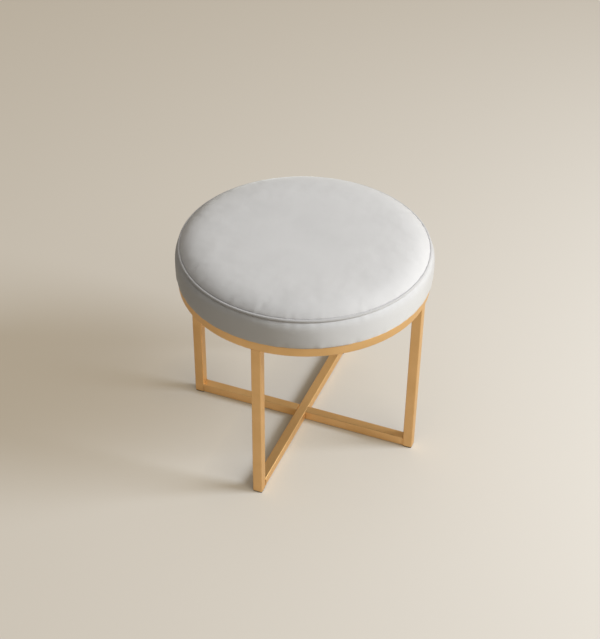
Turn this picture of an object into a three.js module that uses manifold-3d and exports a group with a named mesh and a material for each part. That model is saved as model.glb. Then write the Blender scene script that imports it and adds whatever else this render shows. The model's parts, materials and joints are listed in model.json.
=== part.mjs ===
// A round vanity stool: a padded velvet seat on a welded frame of square steel tube.
// Millimetres, +Z up, the floor at z = 0, the legs on the X and Y axes, the front towards -Y.
import * as THREE from "three";
import { mergeVertices } from "three/addons/utils/BufferGeometryUtils.js";
import Module from "manifold-3d";

const wasm = await Module();
wasm.setup();

// Frame
const ringRadius = 250;
const ringDepth = 20;
const ringHeight = 20;
const ringUnderside = 368;
const tubeWidth = 20;
const tubeWall = 1.5;
const tubeCorner = 2;
const legInset = 1;
const ventRadius = 4;

// Glides, pressed into the open lower ends of the legs
const glideHeight = 2.5;
const glidePadInset = 0.6;
const glidePlugLength = 14;

// Tabs, screws and T-nuts that hold the seat board to the ring
const tabWidth = 30;
const tabLength = 38;
const tabThickness = 3;
const tabCorner = 5;
const screwFromTabEnd = 13;
const screwRadius = 3;
const screwEndBelowBoardTop = 1.8;
const screwHeadRadius = 6;
const screwHeadHeight = 3.6;
const screwHeadEdge = 1.4;
const screwSocketRadius = 2.2;
const screwSocketDepth = 2;
const tNutFlangeRadius = 9.5;
const tNutFlangeThickness = 1.5;
const tNutBarrelRadius = 4.4;
const tNutAboveBoardBottom = 0.8;

// Seat board and the cloths under it
const boardThickness = 12;
const boardVentRadius = 10;
const boardEdgePadding = 1.2;
const velvetThickness = 1.2;
const hemWidth = 26;
const dustCoverThickness = 0.6;
const dustCoverInset = 3;

// Cushion, measured on the outside of the velvet: in from the ring's outer face at the foot
// and the seam, out from it at the widest, and up from the ring's top or the seam
const baseInset = 0.5;
const bulgeOverhang = 4.5;
const bulgeHeight = 24;
const seamInset = 4;
const seamHeight = 60;
const crownHeight = 20.6;
const cordRadius = 3.6;
const waddingThickness = 4;

// Clearances: hard faces that rest on each other, soft pieces, and pieces in holes
const seatGap = 0.05;
const softGap = 0.3;
const waddingGap = 0.6;
const holeGap = 0.3;
// How far a cutting tool reaches past what it cuts
const overrun = 1;

// Facets
const ringFacets = 80;
const cushionFacets = 64;
const fastenerFacets = 16;
const cordFacets = 8;
const cornerFacets = 1;
const coverSideSteps = 6;
const paddingSideSteps = 3;

// The angle at which the velvet meets the cord
const seamAngle = Math.PI / 5;

// The crown from the seam in to the middle, as shares of its radius and of its height
const crownShares = [
  [1, 0],
  [0.985, 0.21],
  [0.965, 0.4],
  [0.93, 0.62],
  [0.88, 0.8],
  [0.81, 0.92],
  [0.7, 0.98],
  [0.42, 0.997],
  [0, 1],
];
// Every second point, for the padding
const paddingCrownShares = crownShares.filter((_, i) => i % 2 === 0);

// Heights and radii that follow from the sizes above
const ringTop = ringUnderside + ringHeight;
const ringInnerRadius = ringRadius - ringDepth;
const legBottom = glideHeight + seatGap;
const legTop = ringUnderside - seatGap;
const legCentre = ringRadius - legInset - tubeWidth / 2;
const legInnerFace = legCentre - tubeWidth / 2;
const barCentreHeight = legBottom + tubeWidth / 2;
const boreWidth = tubeWidth - 2 * tubeWall;
const hemBottom = ringTop + softGap;
const hemTop = hemBottom + velvetThickness;
const boardBottom = hemTop + softGap;
const boardTop = boardBottom + boardThickness;
const baseRadius = ringRadius - baseInset;
const bulgeRadius = ringRadius + bulgeOverhang;
const seamRadius = ringRadius - seamInset;
const boardRadius = baseRadius - velvetThickness - boardEdgePadding;
const dustCoverTop = hemBottom - softGap;
const dustCoverBottom = dustCoverTop - dustCoverThickness;
const dustCoverRadius = ringInnerRadius - dustCoverInset;
const tabTop = dustCoverBottom - softGap;
const tabBottom = tabTop - tabThickness;
const tabOuterEnd = Math.sqrt(ringInnerRadius ** 2 - (tabWidth / 2) ** 2) - softGap;
const screwPitchRadius = tabOuterEnd - tabLength + screwFromTabEnd;
const screwSeat = tabBottom - seatGap;
const screwLength = boardTop - screwEndBelowBoardTop - screwSeat;
const screwHoleRadius = screwRadius + holeGap;
const tNutHoleRadius = tNutBarrelRadius + holeGap;
const tNutFlangeSeat = boardTop - softGap - tNutFlangeThickness;
const tNutBottom = boardBottom + tNutAboveBoardBottom;
const tNutLength = tNutFlangeSeat + seatGap + tNutFlangeThickness - tNutBottom;
const foamBottom = boardTop + softGap;
const seamZ = ringTop + seamHeight;
const bulgeZ = ringTop + bulgeHeight;
const seamReach = cordRadius + softGap;
const rimRadius = seamRadius - seamReach * Math.cos(seamAngle);
const rimDrop = seamReach * Math.sin(seamAngle);

// Materials, each piece with a copy of its own
const satinGold = { color: 0xb98e58, roughness: 0.38, metalness: 1 };
const velvet = { color: 0xc9c8c7, roughness: 0.95, metalness: 0 };
const zinc = { color: 0xb9bcc0, roughness: 0.4, metalness: 1 };
const plywood = { color: 0xc8a678, roughness: 0.8, metalness: 0 };
const foam = { color: 0xe8dfb9, roughness: 1, metalness: 0 };
const polyester = { color: 0xf0f0ee, roughness: 1, metalness: 0 };
const blackCloth = { color: 0x1d1d1f, roughness: 1, metalness: 0 };
const darkPlastic = { color: 0x2a2420, roughness: 0.6, metalness: 0 };

const stool = new THREE.Group();

function add(name, geometry, material, parent = stool) {
  const mesh = new THREE.Mesh(geometry, new THREE.MeshStandardMaterial(material));
  mesh.name = name;
  parent.add(mesh);
  return mesh;
}

// A group turned about the stool's own axis, for pieces repeated around it
function turnedGroup(angle) {
  const group = new THREE.Group();
  group.rotation.z = angle;
  stool.add(group);
  return group;
}

// Joining and cutting

function toSolid(geometry) {
  const plain = geometry.clone();
  plain.deleteAttribute("normal");
  plain.deleteAttribute("uv");
  const merged = mergeVertices(plain);
  return new wasm.Manifold(
    new wasm.Mesh({
      numProp: 3,
      vertProperties: merged.attributes.position.array,
      triVerts: new Uint32Array(merged.index.array),
    }),
  );
}

function toGeometry(solid) {
  const mesh = solid.getMesh();
  const geometry = new THREE.BufferGeometry();
  geometry.setAttribute("position", new THREE.BufferAttribute(mesh.vertProperties, 3));
  geometry.setIndex(new THREE.BufferAttribute(mesh.triVerts, 1));
  const flat = geometry.toNonIndexed();
  flat.computeVertexNormals();
  return flat;
}

function cut(geometry, tools) {
  return toGeometry(tools.reduce((left, tool) => left.subtract(toSolid(tool)), toSolid(geometry)));
}

function joined(first, second) {
  return toGeometry(toSolid(first).add(toSolid(second)));
}

// Basic shapes

// A profile of [radius, height] points, turned about the Z axis
function turned(profile, facets) {
  const points = profile.map(([radius, height]) => new THREE.Vector2(radius, height));
  return new THREE.LatheGeometry(points, facets).rotateX(Math.PI / 2);
}

// The same for a profile that doesn't meet the axis, closed onto its first point
function turnedLoop(profile, facets) {
  return turned([...profile, profile[0]], facets);
}

function cylinder(radius, bottom, top, facets = fastenerFacets) {
  return turned([[0, bottom], [radius, bottom], [radius, top], [0, top]], facets);
}

// A rectangle with round corners, centred
function roundedRectangle(width, height, corner) {
  const x = width / 2 - corner;
  const y = height / 2 - corner;
  const quarter = Math.PI / 2;
  const shape = new THREE.Shape();
  shape.absarc(x, y, corner, 0, quarter);
  shape.absarc(-x, y, corner, quarter, 2 * quarter);
  shape.absarc(-x, -y, corner, 2 * quarter, 3 * quarter);
  shape.absarc(x, -y, corner, 3 * quarter, 4 * quarter);
  shape.closePath();
  return shape;
}

function extruded(shape, depth, curveSegments = cornerFacets) {
  return new THREE.ExtrudeGeometry(shape, { depth, bevelEnabled: false, curveSegments });
}

// A length of the square tube, open at both ends, from z = 0 up
function squareTube(length) {
  const section = roundedRectangle(tubeWidth, tubeWidth, tubeCorner);
  const bore = new THREE.Path();
  bore.moveTo(-boreWidth / 2, -boreWidth / 2);
  bore.lineTo(-boreWidth / 2, boreWidth / 2);
  bore.lineTo(boreWidth / 2, boreWidth / 2);
  bore.lineTo(boreWidth / 2, -boreWidth / 2);
  bore.closePath();
  section.holes.push(bore);
  return extruded(section, length);
}

// Frame: ring, legs, base bars

function seatRing() {
  const centreRadius = ringRadius - ringDepth / 2;
  const centreHeight = ringUnderside + ringHeight / 2;
  const outline = roundedRectangle(ringDepth, ringHeight, tubeCorner)
    .getPoints(cornerFacets)
    .slice(0, -1)
    .map((point) => [centreRadius + point.x, centreHeight + point.y]);
  const halfBoreDepth = ringDepth / 2 - tubeWall;
  const boreLow = ringUnderside + tubeWall;
  const boreHigh = ringTop - tubeWall;
  const bore = turnedLoop(
    [
      [centreRadius - halfBoreDepth, boreLow],
      [centreRadius + halfBoreDepth, boreLow],
      [centreRadius + halfBoreDepth, boreHigh],
      [centreRadius - halfBoreDepth, boreHigh],
    ],
    ringFacets,
  );
  // One vent through the underside into each leg, so that the hollow ring isn't sealed
  const vents = legs.map(({ x, y }) =>
    cylinder(ventRadius, ringUnderside - overrun, boreLow + overrun).translate(x, y, 0),
  );
  return cut(turnedLoop(outline, ringFacets), [bore, ...vents]);
}

const legs = [
  { place: "right", x: legCentre, y: 0 },
  { place: "back", x: 0, y: legCentre },
  { place: "left", x: -legCentre, y: 0 },
  { place: "front", x: 0, y: -legCentre },
];

add("seat_ring", seatRing(), satinGold);

for (const { place, x, y } of legs)
  add("leg_" + place, squareTube(legTop - legBottom), satinGold).position.set(x, y, legBottom);

// The through bar lies along Y from leg to leg, and the half bars butt against its sides
const throughLength = 2 * (legInnerFace - seatGap);
const through = add("base_bar_through", squareTube(throughLength), satinGold);
through.rotation.x = Math.PI / 2;
through.position.set(0, throughLength / 2, barCentreHeight);

const halfStart = tubeWidth / 2 + seatGap;
const halfLength = legInnerFace - seatGap - halfStart;
for (const [place, side] of [["right", 1], ["left", -1]]) {
  const half = add("base_bar_" + place, squareTube(halfLength), satinGold);
  half.rotation.y = (side * Math.PI) / 2;
  half.position.set(side * halfStart, 0, barCentreHeight);
}

// Glides: a flat pad under the tube and a plug inside it

function glide() {
  const padWidth = tubeWidth - 2 * glidePadInset;
  const plugWidth = boreWidth - 2 * holeGap;
  const pad = extruded(roundedRectangle(padWidth, padWidth, tubeCorner), glideHeight);
  const plugCorner = tubeCorner - tubeWall;
  const plugBottom = glideHeight / 2;
  const plug = extruded(
    roundedRectangle(plugWidth, plugWidth, plugCorner),
    glideHeight + glidePlugLength - plugBottom,
  );
  return joined(pad, plug.translate(0, 0, plugBottom));
}

for (const { place, x, y } of legs)
  add("glide_" + place, glide(), darkPlastic).position.set(x, y, 0);

// Seat fixings, one set in each quarter, halfway between the legs

function tab() {
  const shape = roundedRectangle(tabLength, tabWidth, tabCorner);
  const hole = new THREE.Path();
  hole.absarc(screwFromTabEnd - tabLength / 2, 0, screwHoleRadius, 0, 2 * Math.PI, true);
  shape.holes.push(hole);
  return extruded(shape, tabThickness, fastenerFacets / 4);
}

function screw() {
  const headBottom = -screwHeadHeight;
  const body = turned(
    [
      [0, headBottom],
      [screwHeadRadius - screwHeadEdge, headBottom],
      [screwHeadRadius, headBottom + screwHeadEdge],
      [screwHeadRadius, 0],
      [screwRadius, 0],
      [screwRadius, screwLength],
      [0, screwLength],
    ],
    fastenerFacets,
  );
  const socketTop = headBottom + screwSocketDepth;
  return cut(body, [cylinder(screwSocketRadius, headBottom - overrun, socketTop, 6)]);
}

function tNut() {
  const bore = screwRadius + holeGap;
  return turnedLoop(
    [
      [bore, 0],
      [tNutBarrelRadius, 0],
      [tNutBarrelRadius, tNutLength - tNutFlangeThickness],
      [tNutFlangeRadius, tNutLength - tNutFlangeThickness],
      [tNutFlangeRadius, tNutLength],
      [bore, tNutLength],
    ],
    fastenerFacets,
  );
}

const quarters = [1, 2, 3, 4];
const quarterAngle = (quarter) => (quarter - 0.5) * (Math.PI / 2);

for (const quarter of quarters) {
  const group = turnedGroup(quarterAngle(quarter));
  add("mount_tab_" + quarter, tab(), satinGold, group).position.set(
    tabOuterEnd - tabLength / 2,
    0,
    tabBottom,
  );
  add("seat_screw_" + quarter, screw(), zinc, group).position.set(screwPitchRadius, 0, screwSeat);
  add("t_nut_" + quarter, tNut(), zinc, group).position.set(screwPitchRadius, 0, tNutBottom);
}

// Cylinders at the four screws
function atScrews(radius, bottom, top) {
  return quarters.map((quarter) =>
    cylinder(radius, bottom, top).translate(screwPitchRadius, 0, 0).rotateZ(quarterAngle(quarter)),
  );
}

// Seat board and the cloth under it

const boardBlank = cylinder(boardRadius, boardBottom, boardTop, cushionFacets);
add(
  "seat_board",
  cut(boardBlank, [
    ...atScrews(tNutHoleRadius, boardBottom - overrun, boardTop),
    ...atScrews(tNutFlangeRadius + holeGap, tNutFlangeSeat, boardTop + overrun),
    cylinder(boardVentRadius, boardBottom - overrun, boardTop + overrun),
  ]),
  plywood,
);

const dustCoverBlank = cylinder(dustCoverRadius, dustCoverBottom, dustCoverTop, cushionFacets);
const dustCoverHoles = atScrews(screwHoleRadius, dustCoverBottom - overrun, dustCoverTop + overrun);
add("dust_cover", cut(dustCoverBlank, dustCoverHoles), blackCloth);

// Cushion outline. Each layer is the outside of the velvet drawn in by its inset.

// Two parabolas that meet at the widest
function sideRadius(height) {
  const top = seamZ - rimDrop;
  if (height < bulgeZ)
    return bulgeRadius - (bulgeRadius - baseRadius) * ((bulgeZ - height) / (bulgeZ - ringTop)) ** 2;
  return bulgeRadius - (bulgeRadius - rimRadius) * ((height - bulgeZ) / (top - bulgeZ)) ** 2;
}

// The side, from the bottom up to the seam
function side(inset, bottom, steps) {
  const top = seamZ - rimDrop;
  return Array.from({ length: steps + 1 }, (_, i) => {
    const share = i / steps;
    const height = bottom + (top - bottom) * share;
    return [sideRadius(height) - inset, height - inset * share];
  });
}

// The crown, from the seam in to the axis
function crown(inset, shares) {
  return shares.map(([radiusShare, heightShare]) => [
    (rimRadius - inset) * radiusShare,
    seamZ + rimDrop + crownHeight * heightShare - inset,
  ]);
}

// The velvet top panel, a thin dome open below
const panelOutside = crown(0, crownShares);
const panelInside = crown(velvetThickness, crownShares);
add("cover_top", turned([...panelInside.reverse(), ...panelOutside], cushionFacets), velvet);

// The velvet side band, with its hem turned in under the board
const bandOutside = side(0, hemBottom, coverSideSteps);
const bandInside = side(0, hemTop, coverSideSteps).map(([radius, height]) => [
  radius - velvetThickness,
  height,
]);
add(
  "cover_band",
  turnedLoop(
    [
      [boardRadius - hemWidth, hemBottom],
      ...bandOutside,
      ...bandInside.reverse(),
      [boardRadius - hemWidth, hemTop],
    ],
    cushionFacets,
  ),
  velvet,
);

// The cord in the seam
const cordSection = Array.from({ length: cordFacets }, (_, i) => {
  const angle = (2 * Math.PI * i) / cordFacets;
  return [seamRadius + cordRadius * Math.cos(angle), seamZ + cordRadius * Math.sin(angle)];
});
add("welt_cord", turnedLoop(cordSection, cushionFacets), velvet);

// A layer's whole outline, from its bottom up the side and in to the axis
function paddingOutline(inset, bottom) {
  return [...side(inset, bottom, paddingSideSteps), ...crown(inset, paddingCrownShares)];
}

// Wadding over the foam and down the edge of the board
const waddingInset = velvetThickness + waddingGap;
const waddingInside = waddingInset + waddingThickness;
const foamInset = waddingInside + softGap;
const foamFace = paddingOutline(waddingInside, foamBottom);
const boardEdge = boardRadius + softGap;
add(
  "wadding",
  turned(
    [
      ...foamFace.reverse(),
      [sideRadius(foamBottom) - waddingInside, boardTop],
      [boardEdge, boardTop],
      [boardEdge, boardBottom],
      ...paddingOutline(waddingInset, boardBottom),
    ],
    cushionFacets,
  ),
  polyester,
);

// Foam, flat on the board
const foamOutline = [[0, foamBottom], ...paddingOutline(foamInset, foamBottom)];
add("foam_core", turned(foamOutline, cushionFacets), foam);

export default stool;
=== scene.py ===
# Looks of the round vanity stool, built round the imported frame. Metres, +Z up.
import json
import math

import bpy
import numpy as np
from mathutils import Matrix, Vector, noise


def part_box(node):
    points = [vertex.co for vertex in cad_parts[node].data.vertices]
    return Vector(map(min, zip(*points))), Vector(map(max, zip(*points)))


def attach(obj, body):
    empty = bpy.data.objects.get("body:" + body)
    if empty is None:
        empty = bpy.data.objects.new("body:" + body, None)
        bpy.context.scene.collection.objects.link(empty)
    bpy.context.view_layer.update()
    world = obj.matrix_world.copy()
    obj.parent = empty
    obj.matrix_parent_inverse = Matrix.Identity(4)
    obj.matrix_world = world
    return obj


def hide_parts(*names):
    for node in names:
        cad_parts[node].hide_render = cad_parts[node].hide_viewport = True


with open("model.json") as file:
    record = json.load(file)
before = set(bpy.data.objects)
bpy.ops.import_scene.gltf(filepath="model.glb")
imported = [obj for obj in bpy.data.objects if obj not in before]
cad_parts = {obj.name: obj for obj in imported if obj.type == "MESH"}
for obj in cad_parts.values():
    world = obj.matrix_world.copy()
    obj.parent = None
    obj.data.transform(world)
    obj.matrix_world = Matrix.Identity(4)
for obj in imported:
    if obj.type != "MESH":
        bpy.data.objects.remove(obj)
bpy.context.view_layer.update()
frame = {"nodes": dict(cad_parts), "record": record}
scene = bpy.context.scene
scene.view_settings.view_transform = "Standard"

# Helpers


def link(name, mesh, material=None):
    piece = bpy.data.objects.new(name, mesh)
    scene.collection.objects.link(piece)
    if material:
        mesh.materials.append(material)
    return piece


def smooth(mesh):
    mesh.polygons.foreach_set("use_smooth", [True] * len(mesh.polygons))


def mesh_of(name, verts, faces):
    mesh = bpy.data.meshes.new(name)
    mesh.from_pydata([tuple(v) for v in verts], [], [tuple(f) for f in faces])
    mesh.update()
    smooth(mesh)
    return mesh


def coords(mesh):
    flat = np.zeros(len(mesh.vertices) * 3)
    mesh.vertices.foreach_get("co", flat)
    return flat.reshape(-1, 3)


def set_coords(mesh, points):
    mesh.vertices.foreach_set("co", np.asarray(points, np.float32).ravel())
    mesh.update()


def smoothstep(low, high, value):
    t = np.clip((value - low) / (high - low), 0, 1)
    return t * t * (3 - 2 * t)


class Nodes:
    """A node tree, built by small calls."""

    def __init__(self, tree):
        self.tree = tree

    def node(self, kind, inputs=None, **settings):
        """A node of this kind, its inputs set to numbers or joined to sockets."""
        made = self.tree.nodes.new(kind)
        for key, value in settings.items():
            setattr(made, key, value)
        for key, value in (inputs or {}).items():
            if isinstance(value, bpy.types.NodeSocket):
                self.tree.links.new(value, made.inputs[key])
            else:
                made.inputs[key].default_value = value
        return made

    def calc(self, operation, first, second=0.0):
        return self.node("ShaderNodeMath", {0: first, 1: second}, operation=operation).outputs[0]

    def vector(self, operation, first, second=(0, 0, 0)):
        inputs = {0: first, 1: second}
        return self.node("ShaderNodeVectorMath", inputs, operation=operation).outputs

    def height(self, vector):
        return self.node("ShaderNodeSeparateXYZ", {0: vector}).outputs["Z"]


# Where nearly all of a noise's values lie
NOISE_LOW, NOISE_HIGH = 0.3, 0.7


class Shader(Nodes):
    """A material on a Principled BSDF, whose sockets are named with _ for a space."""

    def __init__(self, name, **sockets):
        self.material = bpy.data.materials.new(name)
        self.material.use_nodes = True
        super().__init__(self.material.node_tree)
        self.bsdf = self.tree.nodes["Principled BSDF"]
        for key, value in sockets.items():
            self.bsdf.inputs[key.replace("_", " ")].default_value = value
        self.place = self.node("ShaderNodeTexCoord").outputs["Object"]

    def stretched(self, scale):
        return self.node("ShaderNodeMapping", {"Vector": self.place, "Scale": scale}).outputs[0]

    def noise(self, scale, detail, roughness=0.55, place=None, distortion=0.0):
        inputs = {"Vector": place or self.place, "Scale": scale, "Detail": detail,
                  "Roughness": roughness, "Distortion": distortion}
        return self.node("ShaderNodeTexNoise", inputs).outputs["Fac"]

    def ramp(self, value, stops):
        made = self.node("ShaderNodeValToRGB", {"Fac": value})
        ramp = made.color_ramp
        while len(ramp.elements) < len(stops):
            ramp.elements.new(0.5)
        for element, (place, colour) in zip(ramp.elements, stops):
            element.position = place
            element.color = (*colour, 1)
        return made.outputs["Color"]

    def spread(self, value, to_low, to_high, low=NOISE_LOW, high=NOISE_HIGH):
        """value, taken from low..high to to_low..to_high."""
        inputs = {"Value": value, "From Min": low, "From Max": high,
                  "To Min": to_low, "To Max": to_high}
        return self.node("ShaderNodeMapRange", inputs).outputs["Result"]

    def mix(self, factor, first, second):
        first, second = ((*c, 1) if isinstance(c, tuple) else c for c in (first, second))
        made = self.node("ShaderNodeMix", {0: factor, 6: first, 7: second}, data_type="RGBA")
        return made.outputs[2]

    def bump(self, height, distance, strength, normal=None):
        inputs = {"Height": height, "Distance": distance, "Strength": strength}
        if normal:
            inputs["Normal"] = normal
        return self.node("ShaderNodeBump", inputs).outputs["Normal"]

    def wire(self, **links):
        for key, value in links.items():
            self.tree.links.new(value, self.bsdf.inputs[key.replace("_", " ")])
        return self.material


# Materials

# How much darker or lighter the velvet's nap is than its tone
NAP_SHADE = 0.03


def velvet_material(name, tone, fan=1.14, lean=0.0):
    """Short-pile velvet: nap that lies a little differently from patch to patch.

    fan is how far the pile spreads over a rounded edge, lean how far it is brushed
    round the seat."""
    s = Shader(name, Roughness=0.85, Specular_IOR_Level=0.2, Sheen_Weight=0.48,
               Sheen_Roughness=0.45, Sheen_Tint=(0.97, 0.97, 1.0, 1))
    patches = s.noise(scale=11, detail=2, roughness=0.5, distortion=0.6)
    strokes = s.noise(scale=38, detail=3, roughness=0.6, place=s.stretched((1, 0.45, 1)))
    pile = s.noise(scale=1900, detail=2, roughness=0.6)
    dark = tuple(c * (1 - NAP_SHADE) for c in tone)
    light = tuple(c * (1 + NAP_SHADE) for c in tone)
    shade = s.mix(s.spread(patches, 0, 1), dark, light)
    shade = s.mix(s.spread(strokes, 0, 0.5), shade, light)
    shade = s.mix(s.spread(pile, 0, 0.16), shade, dark)
    facing = s.node("ShaderNodeNewGeometry").outputs["Normal"]
    fanned = s.vector("NORMALIZE", s.vector("MULTIPLY", facing, (fan, fan, 1))[0])[0]
    if lean:
        turned = {"Vector": fanned, "Angle": lean}
        fanned = s.node("ShaderNodeVectorRotate", turned, rotation_type="Z_AXIS").outputs[0]
    nap = s.bump(strokes, distance=0.0012, strength=0.25, normal=fanned)
    return s.wire(Base_Color=shade,
                  Normal=s.bump(pile, distance=0.0003, strength=0.5, normal=nap))


def gold_material():
    s = Shader("satin_gold_coat", Metallic=0.88, Specular_IOR_Level=0.4)
    clouds = s.noise(scale=18, detail=3)
    grain = s.noise(scale=1400, detail=2, roughness=0.6)
    colour = s.mix(s.spread(clouds, 0, 1), (0.73, 0.455, 0.20), (0.79, 0.50, 0.23))
    return s.wire(Base_Color=colour, Roughness=s.spread(clouds, 0.50, 0.45),
                  Normal=s.bump(grain, distance=0.00006, strength=0.5))


def weld_material():
    s = Shader("coated_weld", Metallic=0.85, Roughness=0.34)
    clouds = s.noise(scale=180, detail=3)
    colour = s.mix(clouds, (0.64, 0.39, 0.16), (0.76, 0.48, 0.22))
    return s.wire(Base_Color=colour, Normal=s.bump(clouds, distance=0.0002, strength=0.6))


def zinc_material():
    s = Shader("zinc_plate", Metallic=1.0)
    spangle = s.noise(scale=420, detail=2)
    grain = s.noise(scale=1500, detail=2)
    colour = s.mix(spangle, (0.42, 0.44, 0.47), (0.62, 0.63, 0.64))
    return s.wire(Base_Color=colour, Roughness=s.spread(spangle, 0.26, 0.42),
                  Normal=s.bump(grain, distance=0.00004, strength=0.6))


# The thickness of two plies, a light and a dark one
TWO_PLIES = 0.0028


def plywood_material():
    s = Shader("birch_plywood", Roughness=0.7, Specular_IOR_Level=0.3)
    grain = s.noise(scale=60, detail=5, roughness=0.65, place=s.stretched((0.12, 1, 1)),
                    distortion=0.8)
    face = s.ramp(grain, [(0.25, (0.50, 0.33, 0.17)), (0.55, (0.64, 0.46, 0.27)),
                          (0.8, (0.72, 0.55, 0.35))])
    plies = s.calc("SINE", s.calc("MULTIPLY", s.height(s.place), math.tau / TWO_PLIES))
    edge = s.mix(s.spread(plies, 0, 1, -1, 1), (0.40, 0.25, 0.13), (0.66, 0.48, 0.29))
    up = s.height(s.node("ShaderNodeNewGeometry").outputs["Normal"])
    flat = s.spread(s.calc("ABSOLUTE", up), 0, 1)
    return s.wire(Base_Color=s.mix(flat, edge, face),
                  Normal=s.bump(grain, distance=0.0003, strength=0.5))


def dust_cloth_material():
    s = Shader("black_nonwoven", Roughness=0.95, Specular_IOR_Level=0.15)
    fibres = s.noise(scale=900, detail=4, roughness=0.7, place=s.stretched((1, 0.3, 1)),
                     distortion=1.5)
    colour = s.mix(s.spread(fibres, 0, 1), (0.008, 0.008, 0.009), (0.028, 0.028, 0.03))
    return s.wire(Base_Color=colour, Normal=s.bump(fibres, distance=0.0003, strength=0.7))


def glide_material():
    s = Shader("dark_glide_plastic", Roughness=0.55, Specular_IOR_Level=0.35)
    grain = s.noise(scale=700, detail=3)
    colour = s.mix(grain, (0.018, 0.013, 0.010), (0.034, 0.026, 0.020))
    return s.wire(Base_Color=colour, Normal=s.bump(grain, distance=0.0001, strength=0.6))


# The floor as the camera sees it: what the lamps light, and a painted glow in their shadow
PAPER_LIT = (0.391, 0.392, 0.424, 1)
PAPER_GLOW = (0.247, 0.187, 0.107, 1)
# How near a piece has to be to take the painted glow away, which paints a contact shadow, and how
# strongly it does
CONTACT_REACH, CONTACT_POWER = 0.12, 1.5


def floor_material(lamp_side):
    """Pale paper. To the camera it shows a painted glow, so its shadows are lighter than the
    light on the object makes them. What stands near it on lamp_side takes that glow away: a
    painted contact shadow."""
    s = Shader("warm_paper", Roughness=0.9, Specular_IOR_Level=0.1)
    clouds = s.noise(scale=1.5, detail=2)
    s.wire(Base_Color=s.mix(clouds, (0.60, 0.535, 0.43), (0.61, 0.545, 0.44)))
    path = s.node("ShaderNodeLightPath").outputs
    shown = s.node("ShaderNodeBsdfDiffuse", {"Color": PAPER_LIT}).outputs[0]
    towards = s.node("ShaderNodeCombineXYZ", dict(enumerate(lamp_side))).outputs[0]
    contact = {"Distance": CONTACT_REACH, "Normal": towards}
    # Painted contact shadow: the glow is dimmed where pieces stand near, on the lamps' side
    near = s.node("ShaderNodeAmbientOcclusion", contact).outputs["AO"]
    unseen = s.calc("SUBTRACT", 1.0, path["Is Camera Ray"])
    near = s.calc("MAXIMUM", s.calc("POWER", near, CONTACT_POWER), unseen)
    glow = s.node("ShaderNodeEmission", {"Color": PAPER_GLOW, "Strength": near}).outputs[0]
    both = s.node("ShaderNodeAddShader", {0: shown, 1: glow}).outputs[0]
    seen = s.calc("MAXIMUM", path["Is Camera Ray"], path["Is Glossy Ray"])
    seen = s.calc("MAXIMUM", seen, path["Is Transmission Ray"])
    mixed = s.node("ShaderNodeMixShader", {0: seen, 1: s.bsdf.outputs[0], 2: both}).outputs[0]
    s.tree.links.new(mixed, s.tree.nodes["Material Output"].inputs["Surface"])
    return s.material


TOP_TONE = (0.516, 0.4985, 0.529)
# The band's tone is a little darker and bluer than the top's, though it is the same velvet:
# painted shade on its upright side
BAND_TONE_PAINTED_SHADE = (0.487, 0.4755, 0.512)
# The welt's tone is darker still, though it is the same velvet: painted shade, for velvet seen
# face-on over the cord
WELT_TONE_PAINTED_SHADE = (0.435, 0.42, 0.446)
velvet = velvet_material("silver_velvet", TOP_TONE)
band_velvet = velvet_material("band_velvet", BAND_TONE_PAINTED_SHADE, fan=1.4, lean=math.radians(10.5))
welt_velvet = velvet_material("welt_velvet", WELT_TONE_PAINTED_SHADE)
zinc = zinc_material()

# Frame nodes

JOINED_WITHIN = 1e-6
SHARP_ANGLE = math.radians(50)


def smoothing_group():
    """Joins a node's loose triangles and smooths all but its real edges."""
    tree = bpy.data.node_groups.new("smooth_by_angle", "GeometryNodeTree")
    for way in ("INPUT", "OUTPUT"):
        tree.interface.new_socket("Geometry", in_out=way, socket_type="NodeSocketGeometry")
    nodes = Nodes(tree)
    start = nodes.node("NodeGroupInput").outputs[0]
    merged = nodes.node("GeometryNodeMergeByDistance",
                        {"Geometry": start, "Distance": JOINED_WITHIN}).outputs[0]
    faces = nodes.node("GeometryNodeSetShadeSmooth", {"Geometry": merged}).outputs[0]
    angle = nodes.node("GeometryNodeInputMeshEdgeAngle").outputs["Unsigned Angle"]
    sharp = nodes.node("FunctionNodeCompare", {0: angle, 1: SHARP_ANGLE},
                       data_type="FLOAT", operation="GREATER_THAN").outputs[0]
    edges = nodes.node("GeometryNodeSetShadeSmooth",
                       {"Geometry": faces, "Selection": sharp, "Shade Smooth": False},
                       domain="EDGE").outputs[0]
    nodes.node("NodeGroupOutput", {0: edges})
    return tree


smoothing = smoothing_group()
looks = {
    "satin_gold": gold_material(),
    "zinc": zinc,
    "plywood": plywood_material(),
    "dark_plastic": glide_material(),
}
slots = {sub["node"]: sub["material_slot"] for sub in frame["record"]["subparts"]}
for name, node in frame["nodes"].items():
    look = looks.get(slots[name])
    if not look:
        continue
    node.material_slots[0].material = look
    node.modifiers.new("smooth", "NODES").node_group = smoothing
    node.modifiers.new("even", "WEIGHTED_NORMAL").keep_sharp = True

# Cushion

# The ring's outer face, which most radii below are measured from
RING_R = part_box("seat_ring")[1].x
band_low, band_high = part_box("cover_band")
cord_low, cord_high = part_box("welt_cord")
SEAM_Z = (cord_high.z + cord_low.z) / 2
SEAM_R = cord_high.x - (cord_high.z - cord_low.z) / 2
BASE_Z = band_low.z

# The crown starts at the rim, on the cord
RIM_R, RIM_Z = SEAM_R + 0.0002, SEAM_Z + 0.0014
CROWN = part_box("cover_top")[1].z - RIM_Z

# The band: under the cord, at its widest, at the foot and where it ends under the board
BAND_TOP_Z = SEAM_Z - 0.0009
WIDE_R, WIDE_Z = band_high.x, BASE_Z + 0.0235
FOOT_R, FOOT_Z = RING_R + 0.0025, BASE_Z + 0.0003
HEM_R, HEM_Z = RING_R - 0.0299, BASE_Z + 0.0014

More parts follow.
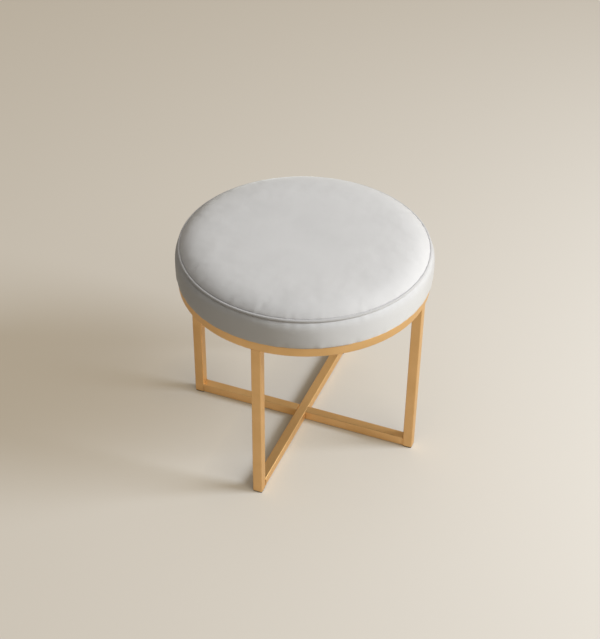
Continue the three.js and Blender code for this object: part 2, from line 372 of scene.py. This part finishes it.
# Loops round the seat as radius and height: the groove behind the cord, the band turned
# under to its hem, the padding inside the top, and the back of the band
GROOVE = ((RIM_R - 0.0045, SEAM_Z + 0.0006), (RIM_R - 0.0045, SEAM_Z - 0.0012))
UNDER = ((RING_R - 0.0012, FOOT_Z + 0.0001), (RING_R - 0.0026, BASE_Z),
         (RING_R - 0.016, BASE_Z), (HEM_R, BASE_Z), (HEM_R, HEM_Z))
TOP_INSIDE = ((RING_R - 0.0095, SEAM_Z - 0.003), (RING_R - 0.0095, BASE_Z + 0.016),
              (RING_R - 0.0115, BASE_Z + 0.0142))
BAND_INSIDE = ((RING_R - 0.0034, BASE_Z + 0.0013), (RING_R - 0.0032, BASE_Z + 0.0135),
               (RING_R - 0.0075, SEAM_Z - 0.006), (RING_R - 0.0088, SEAM_Z - 0.0016))

COLUMNS = 256
SECTORS = 8
RINGS = COLUMNS // SECTORS
SIDE_LOOPS = 14
# Points on the curves that the profiles are measured on, the crown's crowded at the rim
TOP_SAMPLES, SIDE_SAMPLES, CROWDING = 600, 200, 2.2

# How square the crown's shoulder is, and the share of its height that is a plain dome
SHOULDER, SHOULDER_ROUND, DOME = 9.5, 0.85, 0.015
# How late the band draws in towards its foot and towards the seam
FOOT_CURVE, SEAM_CURVE = 2.6, 5.0

# How far the velvet lies below its full crown before it is blown up: radius, drop, in mm
SLACK = ((0, 3.4), (31.5, 3.5), (63, 3.9), (94.5, 4.9), (126, 5.4), (142, 5.3), (157.5, 4.9),
         (173, 4.2), (189, 3.1), (205, 1.55), (212.5, 0.8), (220, 0.18), (227.6, -0.2),
         (234.7, -0.33), (241, -0.24), (246, 0))


def by_length(radius, height, count):
    """The same curve at evenly spaced points."""
    run = np.concatenate([[0], np.cumsum(np.hypot(np.diff(radius), np.diff(height)))])
    even = np.linspace(0, run[-1], count)
    return np.interp(even, run, radius), np.interp(even, run, height)


def top_profile():
    """Radius and height of the crown, from the seam in to the middle."""
    share = 1 - np.linspace(0, 1, TOP_SAMPLES) ** CROWDING
    rise = (1 - DOME) * (1 - share**SHOULDER) ** SHOULDER_ROUND + DOME * (1 - share**2)
    return by_length(RIM_R * share, RIM_Z + CROWN * rise, RINGS + 1)


def side_profile():
    """Radius and height of the band, from the foot up to the seam."""
    height = np.linspace(FOOT_Z, BAND_TOP_Z, SIDE_SAMPLES)
    below = np.maximum(WIDE_Z - height, 0) / (WIDE_Z - FOOT_Z)
    above = np.maximum(height - WIDE_Z, 0) / (BAND_TOP_Z - WIDE_Z)
    radius = WIDE_R - (WIDE_R - FOOT_R) * below**FOOT_CURVE - (WIDE_R - RIM_R) * above**SEAM_CURVE
    return by_length(radius, height, SIDE_LOOPS)


def circle(radius, height, count=COLUMNS):
    turns = np.arange(count) * math.tau / count
    return np.stack([radius * np.cos(turns), radius * np.sin(turns), np.full(count, height)], 1)


def strip(first, second):
    """The quads between two loops, each given by its first point."""
    nexts = (np.arange(COLUMNS) + 1) % COLUMNS
    return [(first + n, first + k, second + k, second + n) for k, n in enumerate(nexts)]


def lid(first):
    """The triangles from a loop to its middle, which is the point after it."""
    return [(first + (k + 1) % COLUMNS, first + k, first + COLUMNS) for k in range(COLUMNS)]


def cushion_shell():
    """A closed shell of even quads: crown, groove behind the cord, band and hem.

    The crown's ring m has SECTORS * m corners, so its quads stay alike from rim to
    middle. Returns the points, the faces, and how many of each the crown has."""
    crown_r, crown_z = top_profile()
    verts, ring_start = [], {}
    for m in range(RINGS, -1, -1):
        ring_start[m] = sum(len(v) for v in verts)
        verts.append(circle(crown_r[RINGS - m], crown_z[RINGS - m], max(SECTORS * m, 1)))

    def at(m, k):
        return ring_start[m] + (k % (SECTORS * m) if m else 0)

    faces = []
    for m in range(RINGS, 0, -1):
        for sector in range(SECTORS):
            outer, inner = sector * m, sector * (m - 1)
            for step in range(m):
                a, b = at(m, outer + step), at(m, outer + step + 1)
                c, d = at(m - 1, inner + step + 1), at(m - 1, inner + step)
                faces.append((a, b, d) if step == m - 1 else (a, b, c, d))
    crown_faces, crown_verts = len(faces), sum(len(v) for v in verts)

    side_r, side_z = side_profile()
    loops = [*GROOVE, *zip(side_r[::-1], side_z[::-1]), *UNDER]
    starts = [0] + [crown_verts + k * COLUMNS for k in range(len(loops))]
    verts += [circle(*loop) for loop in loops]
    verts.append(np.array([[0, 0, HEM_Z]]))
    for first, second in zip(starts, starts[1:]):
        faces += strip(first, second)
    faces += lid(starts[-1])
    return np.concatenate(verts), faces, crown_verts, crown_faces


# The cloth's pressure, how long it is blown up, how firmly the foam holds its free points
# back, and the furthest that any point moves
PRESSURE, FRAMES, FOAM_HOLD, MOST_MOVE = 4.0, 20, 0.14, 0.006


def inflate(piece, pinned):
    """Blows the shell up as cloth under pressure, with the pinned points held."""
    group = piece.vertex_groups.new(name="held")
    group.add(list(range(len(piece.data.vertices))), FOAM_HOLD, "REPLACE")
    group.add([int(i) for i in pinned], 1.0, "REPLACE")
    cloth = piece.modifiers.new("cloth", "CLOTH")
    settings = cloth.settings
    settings.quality, settings.mass = 6, 0.25
    settings.tension_stiffness = settings.compression_stiffness = 12
    settings.shear_stiffness, settings.bending_stiffness = 6, 0.8
    settings.air_damping = 2
    settings.use_pressure, settings.uniform_pressure_force = True, PRESSURE
    settings.vertex_group_mass = "held"
    settings.effector_weights.gravity = 0
    cloth.point_cache.frame_start, cloth.point_cache.frame_end = 1, FRAMES
    for number in range(1, FRAMES + 1):
        scene.frame_set(number)
    start = coords(piece.data)
    swollen = piece.evaluated_get(bpy.context.evaluated_depsgraph_get()).to_mesh()
    move = coords(swollen) - start
    piece.modifiers.remove(cloth)
    scene.frame_set(1)
    length = np.maximum(np.linalg.norm(move, axis=1, keepdims=True), 1e-9)
    set_coords(piece.data, start + move * np.minimum(1, MOST_MOVE / length))


def cushion_panels():
    """The shell, swollen, then parted at the seam into the top and the band, each closed."""
    points, shell_faces, crown_verts, crown_faces = cushion_shell()
    loops = len(GROOVE) + SIDE_LOOPS + len(UNDER)
    radius = np.hypot(points[:crown_verts, 0], points[:crown_verts, 1])
    points[:crown_verts, 2] -= np.interp(radius, *np.array(SLACK).T / 1000)
    shell = link("shell", mesh_of("shell", points, shell_faces))
    # The rim is held, and the band's first and last loops with what they run on to
    seam_end = crown_verts + (len(GROOVE) + 1) * COLUMNS
    foot_start = crown_verts + (loops - len(UNDER) - 1) * COLUMNS
    inflate(shell, [*range(COLUMNS), *range(crown_verts, seam_end),
                    *range(foot_start, len(points))])
    points = coords(shell.data)
    bpy.data.objects.remove(shell)

    def loop(number):
        start = crown_verts + number * COLUMNS
        return points[start:start + COLUMNS]

    # The top: crown, groove, and the padding under it down to the board
    verts = [points[:crown_verts], loop(0), *(circle(*place) for place in TOP_INSIDE)]
    starts = [0] + [crown_verts + k * COLUMNS for k in range(len(verts) - 1)]
    verts.append(np.array([[0, 0, TOP_INSIDE[-1][1]]]))
    faces = shell_faces[:crown_faces]
    for first, second in zip(starts, starts[1:]):
        faces += strip(first, second)
    faces += lid(starts[-1])
    top = mesh_of("seat_top", np.concatenate(verts), faces)

    # The band: its outside from the groove to the hem, and back up behind
    verts = [loop(k) for k in range(1, loops)] + [circle(*place) for place in BAND_INSIDE]
    faces = []
    for k in range(len(verts)):
        faces += strip(k * COLUMNS, (k + 1) % len(verts) * COLUMNS)
    return top, mesh_of("seat_band", np.concatenate(verts), faces)


def refined(name, mesh, material):
    """The mesh with one subdivision applied, as an object."""
    piece = link(name, mesh, material)
    level = piece.modifiers.new("fine", "SUBSURF")
    level.levels = level.render_levels = 1
    evaluated = piece.evaluated_get(bpy.context.evaluated_depsgraph_get())
    fine = bpy.data.meshes.new_from_object(evaluated)
    piece.modifiers.clear()
    piece.data = fine
    fine.name = name
    smooth(fine)
    return piece


# Unevenness as (count round the seat, share): puckers at the seam, pleats at the foot and
# slow waves in the band
PUCKERS = ((43, 0.35), (61, 0.4), (74, 0.3), (97, 0.25))
PLEATS = ((37, 0.4), (58, 0.4), (83, 0.35))
SLOW = ((3, 0.5), (5, 0.4), (8, 0.35), (13, 0.25))
# How deep the puckers and pleats, the slow waves, the band's join and the soft top are
PULL, SLOW_SIZE, JOIN_DEPTH, SOFT_SIZE = 0.0005, 0.0004, 0.0009, 0.0006
# How far from the seam, the foot and the join they reach
SEAM_REACH, FOOT_REACH, JOIN_REACH = 0.011, 0.012, 0.0022
# The radii over which the band's turned-under edge becomes its outside, and its slow waves,
# the seam's puckers and the soft top grow to full size
OUTSIDE = (RING_R - 0.0014, RING_R - 0.0004)
WAVES_GROW = (RING_R - 0.0014, RING_R + 0.0005)
PUCKERS_GROW = (RING_R - 0.05, RING_R - 0.015)
SOFT_GROWS = (RING_R - 0.17, RING_R - 0.06)
# The heights over which the soft top grows from the rim
SOFT_RISES = (RIM_Z + 0.001, RIM_Z + 0.006)
# How fine its two noises are, and the share of the finer one
SOFT_COARSE, SOFT_FINE, SOFT_SHARE = 27, 61, 0.5


def wave(turns, parts, seed):
    """A sum of waves round the seat, each (count, size), with seeded phases."""
    dice = np.random.default_rng(seed)
    return sum(size * np.cos(count * turns + dice.uniform(0, math.tau)) for count, size in parts)


def bell(distance, reach):
    return np.exp(-((distance / reach) ** 2))


def handwork(piece):
    """Small unevenness of hand-pulled velvet: puckers at the seam and the foot, a soft top."""
    points = coords(piece.data)
    x, y, z = points.T.copy()
    radius, turns = np.hypot(x, y), np.arctan2(y, x)
    outward = points[:, :2] / np.maximum(radius, 1e-6)[:, None]
    outside = smoothstep(*OUTSIDE, radius)
    near_seam = bell(z - SEAM_Z, SEAM_REACH) * smoothstep(*PUCKERS_GROW, radius)
    near_foot = bell(z - BASE_Z, FOOT_REACH) * outside
    shift = PULL * wave(turns, PUCKERS, seed=3) * near_seam
    shift += PULL * wave(turns, PLEATS, seed=8) * near_foot
    shift += SLOW_SIZE * wave(turns, SLOW, seed=5) * smoothstep(*WAVES_GROW, radius)
    shift -= JOIN_DEPTH * bell(x, JOIN_REACH) * (y > 0) * outside
    points[:, :2] += outward * shift[:, None]
    crown = smoothstep(*SOFT_RISES, z) * smoothstep(*SOFT_GROWS, radius)
    soft = [noise.noise(Vector(p) * SOFT_COARSE)
            + SOFT_SHARE * noise.noise(Vector(p) * SOFT_FINE) for p in points]
    points[:, 2] += SOFT_SIZE * crown * np.array(soft)
    set_coords(piece.data, points)


top_mesh, band_mesh = cushion_panels()
seat_top = refined("seat_top", top_mesh, velvet)
seat_band = refined("seat_band", band_mesh, band_velvet)
for piece, replaced in ((seat_top, ("cover_top", "wadding", "foam_core")),
                        (seat_band, ("cover_band",))):
    handwork(piece)
    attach(piece, "root")
    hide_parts(*replaced)

# Cord in the seam

# The cord's half thickness, and how far it is pulled down and in
WELT_HALF, WELT_SINK = 0.0031, 0.0003


def torus(name, radius, height, thickness, around, sides):
    verts, faces = [], []
    for k in range(around):
        angle = math.tau * k / around
        for j in range(sides):
            turn = math.tau * j / sides
            r, z = radius + thickness * math.cos(turn), height + thickness * math.sin(turn)
            verts.append((r * math.cos(angle), r * math.sin(angle), z))
            n, m = (k + 1) % around, (j + 1) % sides
            faces.append((k * sides + j, n * sides + j, n * sides + m, k * sides + m))
    return mesh_of(name, verts, faces)


welt_mesh = torus("welt", SEAM_R - WELT_SINK, SEAM_Z - WELT_SINK, WELT_HALF, around=512, sides=12)
welt = link("welt", welt_mesh, welt_velvet)
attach(welt, "root")
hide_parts("welt_cord")

# Cloth under the seat

STAPLES = 28
# The cloth's sag, and the share of it that lies between two staples
SAG, BETWEEN_STAPLES = 0.0005, 0.12
# The shares of its radius over which the sag ends and the staples' pull begins
SAG_ENDS, PULL_BEGINS = (1, 0.9), (0.75, 0.97)
# The mean of its slack, how fine the slack's two noises are, and the share of the finer one
LOOSE_MEAN, LOOSE_COARSE, LOOSE_FINE, LOOSE_SHARE = 0.5, 14, 40, 0.4
COARSE_SEED, FINE_SEED = 2, 7
CLOTH_RINGS, CLOTH_COLUMNS = 30, 168


def dust_sheet():
    """A thin cloth pulled flat under the board, with the slack left between its staples."""
    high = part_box("dust_cover")[1]
    around = CLOTH_COLUMNS
    verts = [(0, 0, high.z)]
    for m in range(1, CLOTH_RINGS + 1):
        share = m / CLOTH_RINGS
        radius = high.x * share
        free, pulled = smoothstep(*SAG_ENDS, share), smoothstep(*PULL_BEGINS, share)
        for k in range(around):
            angle = math.tau * k / around
            x, y = radius * math.cos(angle), radius * math.sin(angle)
            slack = LOOSE_MEAN + noise.noise((x * LOOSE_COARSE, y * LOOSE_COARSE, COARSE_SEED))
            slack += LOOSE_SHARE * noise.noise((x * LOOSE_FINE, y * LOOSE_FINE, FINE_SEED))
            pull = BETWEEN_STAPLES * (1 - math.cos(STAPLES * angle)) * pulled
            verts.append((x, y, high.z - SAG * (max(slack, 0) * free + pull)))
    faces = [(0, 1 + (k + 1) % around, 1 + k) for k in range(around)]
    for m in range(CLOTH_RINGS - 1):
        for k in range(around):
            n = (k + 1) % around
            a, b = 1 + m * around, 1 + (m + 1) * around
            faces.append((a + k, a + n, b + n, b + k))
    return mesh_of("dust_sheet", verts, faces), high.x, high.z


dust_mesh, dust_radius, dust_z = dust_sheet()
dust = link("dust_sheet", dust_mesh, dust_cloth_material())
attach(dust, "root")
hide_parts("dust_cover")

# Staples and weld beads

ROD_STEP = 0.0006
RIPPLE_PITCH = 0.0014
# How square a rod's ends are, and the share of its radius that they close to
END_POWER, END_SHARE = 8, 0.2
UP = (0, 0, 1)


class Parts:
    """Gathers small closed forms into one mesh."""

    def __init__(self):
        self.verts, self.faces = [], []

    def rod(self, start, end, radius, sides=8, ripple=0.0, squash=1.0, up=UP):
        """A round rod with rounded ends and ripples along it, flattened by squash along up."""
        start, end, up = Vector(start), Vector(end), Vector(up)
        along = (end - start).normalized()
        side = along.cross(up).normalized()
        length = (end - start).length
        count = max(int(length / ROD_STEP), 6)
        first = len(self.verts)
        for i in range(count + 1):
            t = i / count
            size = radius * (1 - abs(2 * t - 1) ** END_POWER) ** 0.5
            size *= 1 + ripple * math.cos(t * length / RIPPLE_PITCH * math.tau)
            size = max(size, radius * END_SHARE)
            for j in range(sides):
                turn = math.tau * j / sides
                self.verts.append(start + along * (length * t) + side * (size * math.cos(turn))
                                  + up * (size * squash * math.sin(turn)))
        for i in range(count):
            for j in range(sides):
                n = (j + 1) % sides
                a, b = first + i * sides, first + (i + 1) * sides
                self.faces.append((a + j, a + n, b + n, b + j))
        self.faces.append(tuple(first + sides - 1 - j for j in range(sides)))
        self.faces.append(tuple(first + count * sides + j for j in range(sides)))

    def piece(self, name, material, slot):
        made = link(name, mesh_of(name, self.verts, self.faces), material)
        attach(made, "root")


# The staples' circle, their half length, wire radius and depth below the cloth's top
STAPLE_R = RING_R - 0.0268
STAPLE_HALF, STAPLE_WIRE, STAPLE_DROP = 0.0052, 0.0006, 0.0004
# How unevenly they are set: along the circle, as a share of their spacing, across it and
# in their lean
UNEVEN_ALONG, UNEVEN_ACROSS, UNEVEN_LEAN = 0.12, 0.0008, math.radians(8)

staples = Parts()
dice = np.random.default_rng(21)
for k in range(STAPLES):
    angle = math.tau * (k + UNEVEN_ALONG * dice.uniform(-1, 1)) / STAPLES
    outward = Vector((math.cos(angle), math.sin(angle), 0))
    lean = UNEVEN_LEAN * dice.uniform(-1, 1)
    tangent = Matrix.Rotation(lean, 3, "Z") @ Vector((-outward.y, outward.x, 0))
    middle = outward * (STAPLE_R + UNEVEN_ACROSS * dice.uniform(-1, 1))
    middle.z = dust_z - STAPLE_DROP
    staples.rod(middle - tangent * STAPLE_HALF, middle + tangent * STAPLE_HALF, STAPLE_WIRE,
                sides=6, squash=0.6)
staples.piece("staples", zinc, "zinc")

BEAD = 0.0013
# How far a bead stands off the tube's side, and stops short: of an edge, of the leg's
# rounded corner, of the top of a bar at the leg and at the crossing, and of a tube's sides
BEAD_OFF, SHORT, SHORT_CORNER = 0.0001, 0.0015, 0.0025
SHORT_LEG, SHORT_CROSSING, SHORT_SIDE = 0.0005, 0.002, 0.001

welds = Parts()
bar_low, bar_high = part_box("base_bar_right")
leg_low, leg_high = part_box("leg_right")
half = leg_high.y
inner, outer, top = leg_low.x, leg_high.x, leg_high.z
for quarter in range(4):
    turn = Matrix.Rotation(math.tau * quarter / 4, 3, "Z")

    def bead(start, end, up):
        welds.rod(turn @ Vector(start), turn @ Vector(end), BEAD, ripple=0.16,
                  up=turn @ Vector(up))

    for side in (-half - BEAD_OFF, half + BEAD_OFF):
        # Leg to ring, along both sides
        bead((inner + SHORT, side, top), (outer - SHORT_CORNER, side, top), UP)
        # Bar to leg and bar to bar, down both corners
        for x, short in ((inner, SHORT_LEG), (half, SHORT_CROSSING)):
            bead((x, side, bar_high.z - short), (x, side, bar_low.z + SHORT), (1, 0, 0))
    # Bar to leg and ring to leg, across the leg's inner face
    for height in (bar_high.z, top):
        bead((inner, -half + SHORT_SIDE, height), (inner, half - SHORT_SIDE, height), UP)
welds.piece("weld_beads", weld_material(), "satin_gold")

# Floor, light, camera

# The camera's turn round Z, from looking straight at the front leg
TURN = math.radians(21.15)
to_right = Vector((math.cos(TURN), math.sin(TURN), 0))
to_viewer = Vector((math.sin(TURN), -math.cos(TURN), 0))

# How far the floor runs each way
FAR = 9
corners = [(-FAR, -FAR, 0), (FAR, -FAR, 0), (FAR, FAR, 0), (-FAR, FAR, 0)]
# How steeply the side that faces the lamps looks up
LAMP_SIDE_RISE = 0.5
lamp_side = (to_right + to_viewer + Vector((0, 0, LAMP_SIDE_RISE))).normalized()
floor = link("floor", mesh_of("floor", corners, [(0, 1, 2, 3)]), floor_material(lamp_side))

LAMP_TARGET = Vector((0, 0, 0.3))
LAMP_DISTANCE = 3.6


def area_lamp(name, heading, elevation, size, power, colour):
    """heading, from the picture's right towards the viewer, and elevation are in degrees."""
    heading, elevation = math.radians(heading), math.radians(elevation)
    flat = to_right * math.cos(heading) + to_viewer * math.sin(heading)
    direction = flat * math.cos(elevation) + Vector((0, 0, math.sin(elevation)))
    data = bpy.data.lights.new(name, "AREA")
    data.shape, data.size = "DISK", size
    data.energy, data.color = power, colour
    lamp = bpy.data.objects.new(name, data)
    scene.collection.objects.link(lamp)
    lamp.location = LAMP_TARGET + direction * LAMP_DISTANCE
    lamp.rotation_euler = (-direction).to_track_quat("-Z", "Y").to_euler()


area_lamp("key", heading=9, elevation=32, size=1.45, power=159, colour=(0.955, 1.0, 0.96))
area_lamp("fill", heading=48, elevation=46, size=2.0, power=28, colour=(1.0, 0.97, 0.82))

ROOM = (0.05, 0.048, 0.042)
# The soft box, and how steeply it fades away from overhead
SOFT_BOX, SOFT_BOX_POWER = (0.70, 0.71, 0.65), 3.5
# The walls behind and in front, each with the cosines between which it grows to full
WALL, WALL_FROM, WALL_TO = (0.37, 0.29, 0.20), 0.35, 0.85
FRONT, FRONT_FROM, FRONT_TO = (0.50, 0.455, 0.39), 0.1, 0.7
PAPER = (0.34, 0.28, 0.20)


def studio_world():
    """A soft box overhead, a dim room round it, a lit wall behind the stool, for the metal
    to mirror a pale wall in front, and for the camera pale paper beyond the floor's edge."""
    world = bpy.data.worlds.new("studio")
    world.use_nodes = True
    n = Nodes(world.node_tree)
    direction = n.node("ShaderNodeTexCoord").outputs["Generated"]

    def facing(way, low, high):
        """How much a direction is towards way: 0 at a cosine of low, 1 at high."""
        cosine = n.vector("DOT_PRODUCT", direction, tuple(way))["Value"]
        limits = {"Value": cosine, "From Min": low, "From Max": high}
        return n.node("ShaderNodeMapRange", limits, interpolation_type="SMOOTHSTEP").outputs[0]

    path = n.node("ShaderNodeLightPath").outputs
    overhead = n.calc("POWER", n.calc("MAXIMUM", n.height(direction), 0), SOFT_BOX_POWER)
    behind = facing(-to_viewer, WALL_FROM, WALL_TO)
    front = facing(to_viewer, FRONT_FROM, FRONT_TO)
    mirrored = n.calc("MULTIPLY", front, path["Is Glossy Ray"])
    total = ROOM
    for amount, colour in ((overhead, SOFT_BOX), (behind, WALL), (mirrored, FRONT),
                           (path["Is Camera Ray"], PAPER)):
        total = n.vector("ADD", total, n.vector("MULTIPLY", colour, amount)[0])[0]
    n.tree.links.new(total, n.tree.nodes["Background"].inputs["Color"])
    return world


scene.world = studio_world()

CAMERA_PLACE = (0.7776, -2.0313, 1.9467)
# The camera's tilt down from level and its roll, in degrees
CAMERA_DOWN, CAMERA_ROLL = 37.76, 0.67
camera_data = bpy.data.cameras.new("camera")
camera_data.sensor_width, camera_data.lens = 36, 76.06
camera_data.clip_start, camera_data.clip_end = 0.05, 60
camera = bpy.data.objects.new("camera", camera_data)
scene.collection.objects.link(camera)
camera.matrix_world = (
    Matrix.Translation(CAMERA_PLACE)
    @ Matrix.Rotation(TURN, 4, "Z")
    @ Matrix.Rotation(math.radians(90 - CAMERA_DOWN), 4, "X")
    @ Matrix.Rotation(math.radians(CAMERA_ROLL), 4, "Z")
)
scene.camera = camera

bpy.context.view_layer.update()
